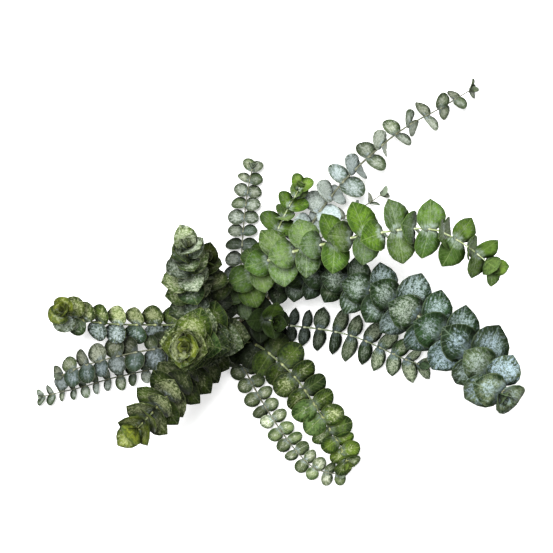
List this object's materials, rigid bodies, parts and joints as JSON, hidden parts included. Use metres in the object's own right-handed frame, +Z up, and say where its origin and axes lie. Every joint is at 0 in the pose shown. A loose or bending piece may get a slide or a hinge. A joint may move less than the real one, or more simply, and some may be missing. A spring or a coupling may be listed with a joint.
{
  "type": "eucalyptus branch",
  "caption": "Cut branch of round-leaved juvenile eucalyptus lying on a surface, with leafy stems that spread and rise from a short woody stem.",
  "frame": {"origin": "middle of the branch's footprint, on the surface that it lies on", "axes": "+X along its longest spread, from the thin stems on the left to the large ones on the right; +Y to the top of the picture; +Z up off the surface, towards the picture's camera"},
  "size_m": [0.4995, 0.4421, 0.2441],
  "materials": {
    "bark": "smooth olive-brown young bark",
    "leaf_green": "fresh green leaves with a thin whitish bloom",
    "leaf_blue": "dark blue-green leaves with a mottled pale blue bloom",
    "leaf_grey": "small grey-green leaves with a waxy bloom",
    "leaf_olive": "olive leaves with a whitish bloom and yellow-green tips"
  },
  "bodies": {
    "root": {"woody_stem": "bark", "leafy_stem_right_green": "leaf_green", "leafy_stem_right_blue": "leaf_blue", "leafy_stem_leader": "leaf_olive", "leafy_stem_up_left": "leaf_olive", "leafy_stem_down_left": "leaf_olive", "leafy_stem_upper_right": "leaf_grey", "leafy_stem_lower_right": "leaf_green", "leafy_stem_left_tip_up": "leaf_olive", "leafy_stem_left": "leaf_grey", "leafy_stem_left_thin": "leaf_grey", "leafy_stem_up_thin": "leaf_grey", "leafy_stem_up_short": "leaf_green", "leafy_stem_lower_right_thin": "leaf_grey", "leafy_stem_right_narrow": "leaf_blue", "leafy_stem_behind_green": "leaf_grey", "leafy_stem_up_left_low": "leaf_olive", "leafy_stem_middle": "leaf_olive"}
  },
  "joints": []
}
